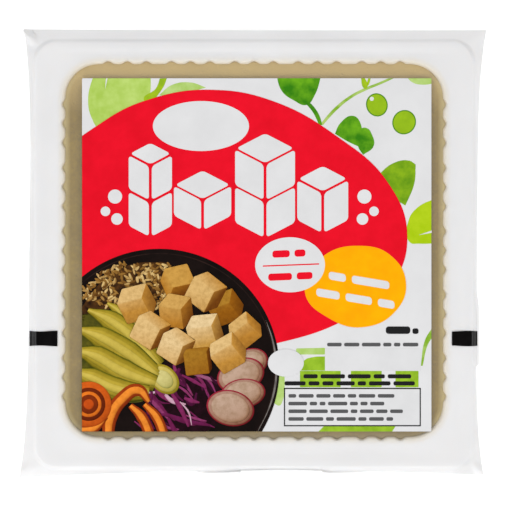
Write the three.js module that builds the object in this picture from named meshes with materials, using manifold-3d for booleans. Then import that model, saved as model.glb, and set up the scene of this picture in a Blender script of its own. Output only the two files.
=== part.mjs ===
// A sealed pack of tofu: a white thermoformed tray with a fluted cavity, the block of tofu that
// fills it, and the clear lidding film that is sealed to the tray's flange and cut square with it.
// Millimetres, +Z up. The origin is the middle of the pack's outline, on the surface that it rests
// on. +X is the pack's right and +Y its back, as it lies with the film up and its print upright.
import * as THREE from "three";
import { mergeVertices } from "three/addons/utils/BufferGeometryUtils.js";
import Module from "manifold-3d";

const wasm = await Module();
wasm.setup();

// The tray, which is laid out round the middle of its cavity.
const TRAY_HEIGHT = 32; // from the base to the seal face
const SHEET = 0.8; // thickness of the formed plastic
const CAVITY = {
  halfWidth: 59,
  halfLength: 58.2,
  cornerRadius: 10.6,
  draft: Math.tan(THREE.MathUtils.degToRad(4)), // how much the walls lean in
  floorRadius: 4,
  lipRadius: 1.3, // how the flange rolls over into the cavity
};
// Narrow upright grooves in each wall, in groups, which stand out as ribs on its outside.
const FLUTES = { groups: 5, perGroup: 3, groupPitch: 19.8, pitch: 6, width: 3.4, depth: 0.85 };

// The seal face is a plateau on the flange. Outside it the sheet steps down to a drooping margin.
const SEAL = { left: 68.2, right: 68.1, front: 67.6, back: 65, cornerRadius: 6.2 };
const STEP = { drop: 0.8, run: 0.8 };
const MARGIN_SLOPE = 0.2;

// The cut edge runs between four pointed corners, and each side bows in between them.
const CORNERS = {
  frontLeft: new THREE.Vector2(-73.4, -71),
  frontRight: new THREE.Vector2(71.7, -70.2),
  backRight: new THREE.Vector2(72.6, 68.9),
  backLeft: new THREE.Vector2(-72, 69.2),
};
const BOW = {
  front: { depth: 1.8, power: 1.7 },
  right: { depth: 2.5, power: 5 },
  back: { depth: 0.2, power: 3 },
  left: { depth: 2.4, power: 5 },
};

// The tofu and the film.
const BLOCK = { clearance: 0.3, headspace: 1.9, topRadius: 0.8 };
const FILM = { thickness: 0.15, gap: 0.3 };

// How finely curves are divided.
const CORNER_STEPS = 6;
const FLOOR_STEPS = 3;
const EDGE_STEPS = 2;
const SIDE_STEPS = 20;

// A closed body through rings of equally many points, each counter-clockwise from above, in order
// from its underside outwards and up. The first and last rings are closed by fans from the middle.
function loft(rings) {
  const count = rings[0].length;
  const places = rings.flat();
  const index = [];
  const reach = (i) => Math.hypot(places[i].x, places[i].y);
  for (let level = 0; level < rings.length - 1; level++) {
    for (let i = 0; i < count; i++) {
      const a = level * count + i;
      const b = level * count + ((i + 1) % count);
      const c = b + count;
      const d = a + count;
      // Split towards the wider ring's first point, so that sheets which nest have equal facets.
      index.push(...(reach(a) > reach(d) ? [a, b, c, a, c, d] : [a, b, d, b, c, d]));
    }
  }
  const close = (level, facesUp) => {
    const middle = places.push(new THREE.Vector3(0, 0, rings[level][0].z)) - 1;
    for (let i = 0; i < count; i++) {
      const a = level * count + i;
      const b = level * count + ((i + 1) % count);
      index.push(middle, facesUp ? a : b, facesUp ? b : a);
    }
  };
  close(0, false);
  close(rings.length - 1, true);
  return new THREE.BufferGeometry().setFromPoints(places).setIndex(index);
}

// Where the flutes stand along a wall, from its middle.
function fluteCentres() {
  const centres = [];
  for (let group = 0; group < FLUTES.groups; group++) {
    for (let flute = 0; flute < FLUTES.perGroup; flute++) {
      centres.push(
        (group - (FLUTES.groups - 1) / 2) * FLUTES.groupPitch +
          (flute - (FLUTES.perGroup - 1) / 2) * FLUTES.pitch,
      );
    }
  }
  return centres;
}

// The cavity's outline at height z, moved in by inset, with flutes of the given depth.
function cavityRing(z, inset, fluteDepth) {
  const ring = [];
  const radius = CAVITY.cornerRadius - inset;
  for (let side = 0; side < 4; side++) {
    const turn = (side * Math.PI) / 2;
    const acrossX = side % 2 === 0;
    const wall = (acrossX ? CAVITY.halfWidth : CAVITY.halfLength) - inset;
    const cornerStart = (acrossX ? CAVITY.halfLength : CAVITY.halfWidth) - CAVITY.cornerRadius;
    const add = (away, along) =>
      ring.push(
        new THREE.Vector3(
          away * Math.cos(turn) - along * Math.sin(turn),
          away * Math.sin(turn) + along * Math.cos(turn),
          z,
        ),
      );
    for (const centre of fluteCentres()) {
      add(wall, centre - FLUTES.width / 2);
      add(wall + fluteDepth, centre);
      add(wall, centre + FLUTES.width / 2);
    }
    for (let step = 0; step <= CORNER_STEPS; step++) {
      const angle = ((step / CORNER_STEPS) * Math.PI) / 2;
      add(wall - radius + radius * Math.cos(angle), cornerStart + radius * Math.sin(angle));
    }
  }
  return ring;
}

// How far the walls have leant in at height z.
function lean(z) {
  return (TRAY_HEIGHT - z) * CAVITY.draft;
}

// Rings up a wall's rounded foot, through which the flutes fade out, and on up to its top.
// thickness moves all of it outwards.
function wallRings(bottom, top, thickness) {
  const radius = CAVITY.floorRadius + thickness;
  const foot = Array.from({ length: FLOOR_STEPS + 1 }, (_, step) => {
    const angle = ((step / FLOOR_STEPS) * Math.PI) / 2;
    const z = bottom + radius * (1 - Math.cos(angle));
    const inset = lean(z) - thickness + radius * (1 - Math.sin(angle));
    return cavityRing(z, inset, FLUTES.depth * (1 - Math.cos(angle)));
  });
  return [...foot, cavityRing(top, lean(top) - thickness, FLUTES.depth)];
}

// Rings round a wall's quarter-round top edge. It turns in (1), as a block's does, or out (-1), as
// a lip does.
function topEdgeRings(top, radius, turn, thickness) {
  return Array.from({ length: EDGE_STEPS }, (_, step) => {
    const angle = (((step + 1) / EDGE_STEPS) * Math.PI) / 2;
    const inset = lean(top) - thickness + turn * radius * (1 - Math.cos(angle));
    return cavityRing(top - radius * (1 - Math.sin(angle)), inset, FLUTES.depth * Math.cos(angle));
  });
}

// The cavity's own space, which rolls out at its mouth and runs on above the seal face.
function cavitySpace() {
  const lip = CAVITY.lipRadius;
  return loft([
    ...wallRings(SHEET, TRAY_HEIGHT - lip, 0),
    ...topEdgeRings(TRAY_HEIGHT, lip, -1, 0),
    cavityRing(TRAY_HEIGHT + lip, -lip, 0),
  ]);
}

// The flange's outline, as places along its four sides: each side's share done, from corner to
// corner, with the places closer together near the corners.
function edgePlaces() {
  const sides = [
    ["front", "frontLeft", "frontRight"],
    ["right", "frontRight", "backRight"],
    ["back", "backRight", "backLeft"],
    ["left", "backLeft", "frontLeft"],
  ];
  return sides.flatMap(([side, from, to]) =>
    Array.from({ length: SIDE_STEPS }, (_, step) => ({
      side,
      from,
      to,
      share: (1 - Math.cos((Math.PI * step) / SIDE_STEPS)) / 2,
    })),
  );
}

// The seal face's outline with its rounded corners, moved out by spread and down by drop.
function sealRing(spread, drop) {
  const corner = {
    frontLeft: new THREE.Vector2(-SEAL.left, -SEAL.front),
    frontRight: new THREE.Vector2(SEAL.right, -SEAL.front),
    backRight: new THREE.Vector2(SEAL.right, SEAL.back),
    backLeft: new THREE.Vector2(-SEAL.left, SEAL.back),
  };
  const radius = SEAL.cornerRadius;
  const low = corner.frontLeft.clone().addScalar(radius);
  const high = corner.backRight.clone().addScalar(-radius);
  return edgePlaces().map(({ from, to, share }) => {
    const place = corner[from].clone().lerp(corner[to], share);
    const centre = place.clone().clamp(low, high);
    const out = place.sub(centre).setLength(radius + spread).add(centre);
    return new THREE.Vector3(out.x, out.y, TRAY_HEIGHT - drop);
  });
}

// The cut edge of tray and film, which hangs below the foot of the step.
function cutEdgeRing() {
  const foot = sealRing(STEP.run, STEP.drop);
  return edgePlaces().map(({ side, from, to, share }, i) => {
    const run = CORNERS[to].clone().sub(CORNERS[from]);
    const inward = new THREE.Vector2(-run.y, run.x).normalize();
    const { depth, power } = BOW[side];
    const place = CORNERS[from].clone().addScaledVector(run, share);
    place.addScaledVector(inward, depth * (1 - Math.abs(2 * share - 1) ** power));
    const width = Math.hypot(place.x - foot[i].x, place.y - foot[i].y);
    return new THREE.Vector3(place.x, place.y, foot[i].z - MARGIN_SLOPE * width);
  });
}

// A sheet that follows the flange from edge to edge, over the cavity too: its underside lies
// lift above the flange's upper surface.
function flangeSheet(lift, thickness) {
  const surface = [cutEdgeRing(), sealRing(STEP.run, STEP.drop), sealRing(0, 0)];
  const raised = (ring, by) => ring.map((p) => new THREE.Vector3(p.x, p.y, p.z + by));
  return loft([
    ...[...surface].reverse().map((ring) => raised(ring, lift)),
    ...surface.map((ring) => raised(ring, lift + thickness)),
  ]);
}

// A closed mesh as a solid that can be joined and cut, and back again.
function solid(geometry) {
  const merged = mergeVertices(geometry, 1e-4);
  return new wasm.Manifold(
    new wasm.Mesh({
      numProp: 3,
      vertProperties: merged.attributes.position.array,
      triVerts: new Uint32Array(merged.index.array),
    }),
  );
}

function geometryOf(shape) {
  const mesh = shape.getMesh();
  return new THREE.BufferGeometry()
    .setAttribute("position", new THREE.BufferAttribute(mesh.vertProperties, 3))
    .setIndex(new THREE.BufferAttribute(mesh.triVerts, 1));
}

function piece(name, geometry, material) {
  geometry.computeVertexNormals();
  const mesh = new THREE.Mesh(geometry, new THREE.MeshStandardMaterial(material));
  mesh.name = name;
  return mesh;
}

// White polypropylene, vacuum formed from one sheet.
function tray() {
  const flange = solid(flangeSheet(-SHEET, SHEET));
  const tub = solid(loft(wallRings(0, TRAY_HEIGHT - SHEET / 2, SHEET)));
  const formed = flange.add(tub).subtract(solid(cavitySpace()));
  return piece("tray", geometryOf(formed), { color: 0xf0f0f1, roughness: 0.42, metalness: 0 });
}

// Pressed bean curd, set against the fluted walls, with a softly rounded upper edge.
function tofuBlock() {
  const { clearance, headspace, topRadius } = BLOCK;
  const top = TRAY_HEIGHT - headspace;
  const block = loft([
    ...wallRings(SHEET + clearance, top - topRadius, -clearance),
    ...topEdgeRings(top, topRadius, 1, -clearance),
  ]);
  return piece("tofu_block", block, { color: 0xe6d9b4, roughness: 0.6, metalness: 0 });
}

// Clear lidding film.
function lidFilm() {
  return piece("lid_film", flangeSheet(FILM.gap, FILM.thickness), {
    color: 0xf4f4f4,
    roughness: 0.15,
    metalness: 0,
    transparent: true,
    opacity: 0.3,
  });
}

const pack = new THREE.Group();
pack.add(tray(), tofuBlock(), lidFilm());

// The web isn't cut quite evenly round the cavity, so the outline's middle lies a little off it.
const outline = new THREE.Box3().setFromObject(pack).getCenter(new THREE.Vector3());
pack.position.set(-outline.x, -outline.y, 0);

export default pack;
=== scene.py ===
import math
import random

import bpy
import numpy as np
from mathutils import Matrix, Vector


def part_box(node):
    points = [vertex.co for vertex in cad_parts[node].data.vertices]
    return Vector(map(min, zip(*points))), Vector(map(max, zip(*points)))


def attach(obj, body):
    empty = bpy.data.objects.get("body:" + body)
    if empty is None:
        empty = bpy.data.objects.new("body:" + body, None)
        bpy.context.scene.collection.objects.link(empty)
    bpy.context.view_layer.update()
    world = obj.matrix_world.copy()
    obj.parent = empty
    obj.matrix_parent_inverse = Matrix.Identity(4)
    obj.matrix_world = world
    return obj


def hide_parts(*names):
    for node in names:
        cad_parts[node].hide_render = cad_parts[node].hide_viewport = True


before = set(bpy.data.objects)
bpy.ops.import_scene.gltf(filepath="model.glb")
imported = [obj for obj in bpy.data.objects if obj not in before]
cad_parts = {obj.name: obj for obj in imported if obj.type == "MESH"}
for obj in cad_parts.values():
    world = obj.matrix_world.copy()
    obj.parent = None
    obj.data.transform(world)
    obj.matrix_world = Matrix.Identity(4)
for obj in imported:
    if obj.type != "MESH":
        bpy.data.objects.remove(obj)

bl_info = {
    "name": "Tofu pack",
    "version": (1, 0, 0),
    "blender": (4, 5, 0),
    "location": "View3D > Sidebar > Tofu pack",
    "description": "Builds a sealed tofu pack: formed tray, bean curd, lidding film and its plain print",
    "category": "Add Mesh",
}

MM = 0.001
MERGE = {"threshold": 1e-6}  # how near places are merged, in metres

# The cavity's middle and the seal face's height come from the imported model.
_block_low, _block_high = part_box("tofu_block")
CAVITY_X = (_block_low[0] + _block_high[0]) / 2 / MM
CAVITY_Y = (_block_low[1] + _block_high[1]) / 2 / MM
SEAL_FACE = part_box("tray")[1][2] / MM
TOFU_TOP = _block_high[2] / MM

# The label's middle, from the cavity's middle, and half of its width and height.
LABEL_X, LABEL_Y = 0.8, -1.4
LABEL_HALF_WIDTH, LABEL_HALF_HEIGHT = 54.5, 55.1

# Places round the sheet: so many on each straight side, and so many round each corner.
SIDE_PLACES = 210
CORNER_PLACES = 40

# The tray's cavity, its seal face and its cut edge, in millimetres from the cavity's middle.
HALF_WIDTH, HALF_LENGTH, CAVITY_RADIUS = 59.0, 58.2, 10.6
DRAFT = math.tan(math.radians(4))
FLOOR_RADIUS, LIP_RADIUS = 4.0, 1.3
SEAL_SIDES = (68.1, 65.0, 68.2, 67.6)  # right, back, left, front
SEAL_RADIUS = 6.2
TIPS = ((71.7, -70.2), (72.6, 68.9), (-72.0, 69.2), (-73.4, -71.0))
BOWS = ((2.5, 5), (0.2, 3), (2.4, 5), (1.8, 1.7))  # how deep each side bows in, and how squarely
TIP_REACH = 72.0  # about how far the cut edge lies from the middle

# The upright flutes in the cavity's walls: five groups of three on each side.
FLUTE_GROUPS, FLUTES_IN_GROUP = (-2, -1, 0, 1, 2), (-1, 0, 1)
GROUP_PITCH, FLUTE_PITCH, FLUTE_HALF_WIDTH = 19.8, 6.0, 2.2

# The step round the seal face: how far out, and how far down. The margin slopes down beyond it.
STEP_PROFILE = ((-1.4, 0.0), (-0.6, 0.01), (-0.25, 0.05), (0.05, 0.15), (0.3, 0.31), (0.55, 0.5),
                (0.8, 0.67), (1.05, 0.79), (1.4, 0.87))
STEP_FOOT, STEP_DROP = STEP_PROFILE[-1]
MARGIN_SLOPE = 0.2
FLANGE_SHARES = (0.0, 0.1, 0.2, 0.35, 0.5, 0.65, 0.8, 0.92)
MARGIN_SHARES = (0.12, 0.3, 0.5, 0.7, 0.86, 0.97, 1.0)
SEAL_DISH = 0.18  # how far the flange dips between the lip and the seal
MARGIN_WAVE = 0.12  # how far the margin's edge rises and falls

# Each tip's fold: how high, how wide, and how far it leans to one side, in millimetres.
TIP_FOLDS = ((1.5, 2.4, 0.6), (1.6, 2.6, -0.7), (2.2, 2.0, 0.9), (1.9, 2.2, -1.0))
FOLD_START = 0.8  # where a fold begins, out from the seal face's corner

# The eye marks: their left and right ends, their height along the pack, and half of their width.
EYE_MARKS = ((-70.15, -61.35), (61.7, 69.7))
EYE_MARK_Y, EYE_MARK_HALF = -27.5, 2.3

# The bowl of the food picture, from the label's middle.
BOWL_U, BOWL_V, BOWL_RADIUS = -30.4, -35.6, 37.5
RICE_GRAINS, LOOSE_STRANDS = 330, 34


# Colours and materials -----------------------------------------------------------------------


def linear(colour):
    """An sRGB hex colour as linear red, green and blue."""
    channels = [int(colour[i : i + 2], 16) / 255 for i in (1, 3, 5)]
    return tuple(c / 12.92 if c <= 0.04045 else ((c + 0.055) / 1.055) ** 2.4 for c in channels)


def per_mm(size):
    """The texture scale at which a pattern's features are so many millimetres across."""
    return 1 / (size * MM)


def set_inputs(material, node, inputs):
    """Sets a node's inputs to values, or links them where a socket is given."""
    for name, value in inputs.items():
        socket = node.inputs[name]
        if isinstance(value, bpy.types.NodeSocket):
            material.node_tree.links.new(value, socket)
        elif socket.type == "RGBA":
            socket.default_value = (*value[:3], 1)
        else:
            socket.default_value = value


def add_node(material, kind, inputs=None, stops=(), **settings):
    """Adds a node with its settings, its inputs, and a ramp's stops as positions and colours."""
    node = material.node_tree.nodes.new(kind)
    for name, value in settings.items():
        setattr(node, name, value)
    set_inputs(material, node, inputs or {})
    for number, (position, colour) in enumerate(stops):
        elements = node.color_ramp.elements
        element = elements[number] if number < 2 else elements.new(position)
        element.position = position
        element.color = (*colour, 1)
    return node


def new_material(name):
    """An empty material with a shader, and its object coordinates."""
    material = bpy.data.materials.new(name)
    material.use_nodes = True
    material.node_tree.nodes.clear()
    shader = add_node(material, "ShaderNodeBsdfPrincipled")
    add_node(material, "ShaderNodeOutputMaterial", {"Surface": shader.outputs["BSDF"]})
    place = add_node(material, "ShaderNodeTexCoord").outputs["Object"]
    return material, shader, place


def darker(colour, share):
    """The colour, with so large a share of its light left."""
    return tuple(c * share for c in colour)


def formed_polypropylene(colour):
    # White polypropylene sheet, vacuum formed. The mould leaves it satin, a little milky, with a
    # faint orange peel and slow changes of thickness that show as soft changes of white.
    material, shader, place = new_material("formed_polypropylene")
    cloud = add_node(material, "ShaderNodeTexNoise",
                     {"Vector": place, "Scale": per_mm(22), "Detail": 2.0, "Roughness": 0.5})
    white = add_node(material, "ShaderNodeValToRGB", {"Fac": cloud.outputs["Fac"]},
                     [(0.3, darker(colour, 0.965)), (0.7, colour)])
    # A painted glow: where it rolls over into the cavity, the sheet is tinted with the cream of the curd, as
    # the curd's light glowing through it a little.
    near, axes = near_wall(material, place)
    inside = add_node(material, "ShaderNodeMapRange", {
        "Value": near, "From Min": 11.3 * MM, "From Max": 13.1 * MM, "To Min": 1.0, "To Max": 0.0})
    above = add_node(material, "ShaderNodeMapRange", {
        "Value": axes["Z"], "From Min": (SEAL_FACE - 2.8) * MM, "From Max": (SEAL_FACE - 2) * MM})
    below = add_node(material, "ShaderNodeMapRange", {
        "Value": axes["Z"], "From Min": (SEAL_FACE - 1.2) * MM, "From Max": (SEAL_FACE - 0.02) * MM,
        "To Min": 1.0, "To Max": 0.4})
    painted_glow = inside.outputs["Result"]
    for limit in (below, above):
        painted_glow = add_node(material, "ShaderNodeMath", {0: painted_glow, 1: limit.outputs["Result"]},
                        operation="MULTIPLY").outputs[0]
    tint = add_node(material, "ShaderNodeMix",
                    {"Factor": painted_glow, "A": white.outputs["Color"], "B": linear("#CDBE9C")}, data_type="RGBA")
    peel = add_node(material, "ShaderNodeTexNoise",
                    {"Vector": place, "Scale": per_mm(0.9), "Detail": 3.0, "Roughness": 0.55})
    gloss = add_node(material, "ShaderNodeMapRange", {
        "Value": peel.outputs["Fac"], "From Min": 0.3, "From Max": 0.7, "To Min": 0.36, "To Max": 0.5})
    relief = add_node(material, "ShaderNodeBump",
                      {"Height": peel.outputs["Fac"], "Strength": 0.12, "Distance": 0.05 * MM})
    set_inputs(material, shader, {
        "Base Color": tint.outputs["Result"], "Roughness": gloss.outputs["Result"],
        "Normal": relief.outputs["Normal"], "IOR": 1.49,
        "Subsurface Weight": 0.4, "Subsurface Radius": (1.0, 0.9, 0.8), "Subsurface Scale": 1.5 * MM,
    })
    return material


def near_wall(material, place):
    """How near a place is to the cavity's wall: the wall is a corner's radius away. Also its axes."""
    off = add_node(material, "ShaderNodeVectorMath", {0: place, 1: (CAVITY_X * MM, CAVITY_Y * MM, 0)},
                   operation="SUBTRACT").outputs["Vector"]
    axes = add_node(material, "ShaderNodeSeparateXYZ", {"Vector": off}).outputs
    past = off
    for kind, by in (("MULTIPLY", (1, 1, 0)), ("ABSOLUTE", (0, 0, 0)),
                     ("SUBTRACT", ((HALF_WIDTH - CAVITY_RADIUS) * MM, (HALF_LENGTH - CAVITY_RADIUS) * MM, 0)),
                     ("MAXIMUM", (0, 0, 0))):
        past = add_node(material, "ShaderNodeVectorMath", {0: past, 1: by}, operation=kind).outputs["Vector"]
    return add_node(material, "ShaderNodeVectorMath", {0: past}, operation="LENGTH").outputs["Value"], axes


def pressed_bean_curd(settings):
    # Bean curd, curdled and pressed. It is cream, moist and matt, with a fine crumb, scattered
    # pores and slow changes from cream to a duller yellow.
    material, shader, place = new_material("pressed_bean_curd")
    cloud = add_node(material, "ShaderNodeTexNoise",
                     {"Vector": place, "Scale": per_mm(16), "Detail": 3.0, "Roughness": 0.6})
    crumb = add_node(material, "ShaderNodeTexNoise",
                     {"Vector": place, "Scale": per_mm(1.1), "Detail": 4.0, "Roughness": 0.65})
    pores = add_node(material, "ShaderNodeTexVoronoi",
                     {"Vector": place, "Scale": per_mm(2.6), "Randomness": 1.0})
    pits = add_node(material, "ShaderNodeMapRange",
                    {"Value": pores.outputs["Distance"], "From Min": 0.06, "From Max": 0.2})
    blend = add_node(material, "ShaderNodeMath",
                     {0: cloud.outputs["Fac"], 1: crumb.outputs["Fac"]}, operation="ADD")
    mean = add_node(material, "ShaderNodeMath", {0: blend.outputs[0], 1: 0.5}, operation="MULTIPLY")
    # Painted shade: both colours of the curd are set far darker than its own cream, as the shade of the
    # recess under the film and the label.
    curd = add_node(material, "ShaderNodeValToRGB", {"Fac": mean.outputs[0]},
                    [(0.35, tuple(settings.shaded)), (0.62, tuple(settings.cream))])
    # Painted light and shade: the white wall lights the curd beside it, so it is painted paler there than by
    # the label, most of all by the back wall, which the light from the front reaches, and darker by the front
    # wall, as its shade.
    near, axes = near_wall(material, place)
    beside = add_node(material, "ShaderNodeMapRange",
                      {"Value": near, "From Min": 8.9 * MM, "From Max": 11.2 * MM})
    depth = add_node(material, "ShaderNodeMapRange", {
        "Value": axes["Y"], "From Min": -HALF_LENGTH * MM, "From Max": HALF_LENGTH * MM})
    back = add_node(material, "ShaderNodeMapRange",
                    {"Value": axes["Y"], "From Min": 43 * MM, "From Max": 54 * MM})
    wall = add_node(material, "ShaderNodeValToRGB", {"Fac": depth.outputs["Result"]}, [
        (0.012, tuple(settings.front_shaded)), (0.04, tuple(settings.wall_lit)),
        (0.95, tuple(settings.wall_lit)), (0.98, tuple(settings.back_lit))])
    lit = add_node(material, "ShaderNodeMix", {
        "Factor": back.outputs["Result"], "A": curd.outputs["Color"], "B": tuple(settings.back_lit)},
                   data_type="RGBA")
    paler = add_node(material, "ShaderNodeMix", {
        "Factor": beside.outputs["Result"], "A": lit.outputs["Result"], "B": wall.outputs["Color"]},
                     data_type="RGBA")
    height = add_node(material, "ShaderNodeMath",
                      {0: pits.outputs["Result"], 1: crumb.outputs["Fac"]}, operation="ADD")
    relief = add_node(material, "ShaderNodeBump",
                      {"Height": height.outputs[0], "Strength": 0.35, "Distance": 0.25 * MM})
    set_inputs(material, shader, {
        "Base Color": paler.outputs["Result"], "Roughness": 0.55,
        "Normal": relief.outputs["Normal"], "IOR": 1.38,
    })
    return material


def clear_lidding_film(colour, alpha):
    # Polyester lidding film, drawn thin and heat sealed. It is clear and glossy, with only its
    # reflections and a faint veil to show that it is there, and it ripples a little.
    material, shader, place = new_material("clear_lidding_film")
    ripple = add_node(material, "ShaderNodeTexNoise",
                      {"Vector": place, "Scale": per_mm(18), "Detail": 1.0, "Roughness": 0.4})
    haze = add_node(material, "ShaderNodeTexNoise",
                    {"Vector": place, "Scale": per_mm(5), "Detail": 2.0, "Roughness": 0.5})
    veil = add_node(material, "ShaderNodeValToRGB", {"Fac": haze.outputs["Fac"]},
                    [(0.35, darker(colour, 0.94)), (0.65, colour)])
    gloss = add_node(material, "ShaderNodeMapRange", {
        "Value": haze.outputs["Fac"], "From Min": 0.3, "From Max": 0.7, "To Min": 0.1, "To Max": 0.2})
    relief = add_node(material, "ShaderNodeBump",
                      {"Height": ripple.outputs["Fac"], "Strength": 0.25, "Distance": 0.4 * MM})
    set_inputs(material, shader, {
        "Base Color": veil.outputs["Color"], "Roughness": gloss.outputs["Result"],
        "Normal": relief.outputs["Normal"], "IOR": 1.5, "Alpha": alpha,
    })
    return material


def flexo_ink(name, colour, other=None, mottle=9.0):
    # Flexographic ink on film. It lies in an even coat with a soft gloss. The plate and the film
    # leave a slow mottle and a fine grain, both drawn a little coarser than they are.
    colour = tuple(colour)
    material, shader, place = new_material(name)
    slow = add_node(material, "ShaderNodeTexNoise",
                    {"Vector": place, "Scale": per_mm(mottle), "Detail": 3.0, "Roughness": 0.6})
    coat = add_node(material, "ShaderNodeValToRGB", {"Fac": slow.outputs["Fac"]},
                    [(0.34, linear(other) if other else darker(colour, 0.94)), (0.66, colour)])
    grain = add_node(material, "ShaderNodeTexNoise",
                     {"Vector": place, "Scale": per_mm(0.7), "Detail": 2.0, "Roughness": 0.5})
    gloss = add_node(material, "ShaderNodeMapRange", {
        "Value": grain.outputs["Fac"], "From Min": 0.3, "From Max": 0.7, "To Min": 0.13, "To Max": 0.25})
    relief = add_node(material, "ShaderNodeBump",
                      {"Height": slow.outputs["Fac"], "Strength": 0.15, "Distance": 0.15 * MM})
    set_inputs(material, shader, {
        "Base Color": coat.outputs["Color"], "Roughness": gloss.outputs["Result"],
        "Normal": relief.outputs["Normal"], "IOR": 1.5, "Specular IOR Level": 0.2,
    })
    return material


def process_ink(name, tones, deep, grain_size, grain_share=0.25, half=(0.8, 0.78, 0.74),
                shades=(0.15, 0.62, 0.92)):
    # Process inks of the printed food, as flat as the rest of the print. Each item's own tone
    # picks its colour, its shade darkens it where its form turns away, and a grain breaks it up.
    material, shader, place = new_material(name)
    tone = add_node(material, "ShaderNodeAttribute", attribute_name="tone")
    colour = add_node(material, "ShaderNodeValToRGB", {"Fac": tone.outputs["Fac"]},
                      [(number / (len(tones) - 1), linear(value)) for number, value in enumerate(tones)])
    shade = add_node(material, "ShaderNodeAttribute", attribute_name="shade")
    light = add_node(material, "ShaderNodeValToRGB", {"Fac": shade.outputs["Fac"]},
                     list(zip(shades, (deep, half, (1.0, 1.0, 1.0)))))
    grain = add_node(material, "ShaderNodeTexNoise",
                     {"Vector": place, "Scale": per_mm(grain_size), "Detail": 4.0, "Roughness": 0.65})
    speck = add_node(material, "ShaderNodeValToRGB", {"Fac": grain.outputs["Fac"]},
                     [(0.32, (1 - grain_share, 1 - grain_share * 1.15, 1 - grain_share * 1.5)),
                      (0.6, (1.0, 1.0, 1.0))])
    inked = colour.outputs["Color"]
    for share in (light, speck):
        inked = add_node(material, "ShaderNodeMix", {"Factor": 1.0, "A": inked, "B": share.outputs["Color"]},
                         data_type="RGBA", blend_type="MULTIPLY").outputs["Result"]
    relief = add_node(material, "ShaderNodeBump",
                      {"Height": grain.outputs["Fac"], "Strength": 0.08, "Distance": 0.05 * MM})
    set_inputs(material, shader, {
        "Base Color": inked, "Roughness": 0.2, "Normal": relief.outputs["Normal"], "IOR": 1.5,
        "Specular IOR Level": 0.2,
    })
    return material


# Mesh helpers --------------------------------------------------------------------------------


def edit_all(*steps):
    """Runs mesh operators on the whole of the active piece, each given with its settings."""
    bpy.ops.object.mode_set(mode="EDIT")
    for operator, settings in steps:
        bpy.ops.mesh.select_all(action="SELECT")
        operator(**settings)
    bpy.ops.object.mode_set(mode="OBJECT")


def upward(piece):
    """How far the piece's faces point up, taken together."""
    normals = np.empty(len(piece.data.polygons) * 3)
    piece.data.polygons.foreach_get("normal", normals)
    return normals.reshape(-1, 3)[:, 2].sum()


def clear_selection():
    """Leaves nothing selected, so that an operator acts on the new piece alone."""
    if bpy.context.object and bpy.context.object.mode != "OBJECT":
        bpy.ops.object.mode_set(mode="OBJECT")
    bpy.ops.object.select_all(action="DESELECT")


def make_active(piece):
    """Leaves one piece selected, and active."""
    clear_selection()
    piece.select_set(True)
    bpy.context.view_layer.objects.active = piece


def name_piece(name):
    """Names the active piece and its mesh."""
    piece = bpy.context.object
    piece.name = piece.data.name = name
    return piece


def apply_place(scale=None):
    """Puts the new piece's place, turn and scale into its mesh."""
    if scale:
        bpy.context.object.scale = scale
    bpy.ops.object.transform_apply(location=True, rotation=True, scale=True)


def apply_modifier(piece, kind, **settings):
    """Adds a modifier with its settings and applies it."""
    make_active(piece)
    modifier = piece.modifiers.new(kind.title(), kind)
    for name, value in settings.items():
        setattr(modifier, name, value)
    bpy.ops.object.modifier_apply(modifier=modifier.name)


def read_places(piece):
    """The piece's vertices, as rows of x, y and z in metres."""
    places = np.empty(len(piece.data.vertices) * 3, dtype=np.float64)
    piece.data.vertices.foreach_get("co", places)
    return places.reshape(-1, 3)


def write_places(piece, places):
    """Moves the piece's vertices to the places given."""
    piece.data.vertices.foreach_set("co", np.asarray(places, dtype=np.float64).ravel())
    piece.data.update()


def join_pieces(pieces, name):
    """Joins pieces into one, under a name."""
    clear_selection()
    for piece in pieces:
        piece.select_set(True)
    bpy.context.view_layer.objects.active = pieces[0]
    if len(pieces) > 1:
        bpy.ops.object.join()
    return name_piece(name)


def finish_piece(piece, material, smooth_angle=35, node=None):
    """Smooths a piece, gives it its finish and ties it to the pack."""
    make_active(piece)
    bpy.ops.object.shade_smooth_by_angle(angle=math.radians(smooth_angle))
    piece.data.materials.clear()
    piece.data.materials.append(material)
    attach(piece, "root")
    if node:
        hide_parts(node)


# The tray's and the film's sheet ---------------------------------------------------------------


def flute_profile(along):
    """How deep the flutes are at a place along a wall, from 0 to 1: five groups of three."""
    for group in FLUTE_GROUPS:
        for flute in FLUTES_IN_GROUP:
            off = abs(along - group * GROUP_PITCH - flute * FLUTE_PITCH)
            if off < FLUTE_HALF_WIDTH:
                return 0.5 + 0.5 * math.cos(math.pi * off / FLUTE_HALF_WIDTH)
    return 0.0


FLUTE_PROFILES = [
    [flute_profile(-straight + 2 * straight * k / SIDE_PLACES) for k in range(SIDE_PLACES)]
    for straight in (HALF_LENGTH - CAVITY_RADIUS, HALF_WIDTH - CAVITY_RADIUS)
]


def straight_half(side):
    """Half of the straight part of a side: right, back, left, front."""
    return (HALF_WIDTH if side % 2 else HALF_LENGTH) - CAVITY_RADIUS


def turn_place(side, away, along):
    """A place given by how far it is out from the middle and along a side, as x and y."""
    return ((away, along), (-along, away), (-away, -along), (along, -away))[side]


def cavity_ring(inset, flute_depth=0.0):
    """The cavity's rounded outline, moved in by inset, with flutes as deep as given."""
    ring = []
    radius = CAVITY_RADIUS - inset
    for side in range(4):
        wall = (HALF_LENGTH if side % 2 else HALF_WIDTH) - inset
        straight = straight_half(side)
        for k in range(SIDE_PLACES):
            along = -straight + 2 * straight * k / SIDE_PLACES
            ring.append(turn_place(side, wall + flute_depth * FLUTE_PROFILES[side % 2][k], along))
        for k in range(CORNER_PLACES):
            angle = math.pi / 2 * k / CORNER_PLACES
            ring.append(turn_place(side, wall - radius + radius * math.cos(angle),
                                   straight + radius * math.sin(angle)))
    return np.array(ring)


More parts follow.
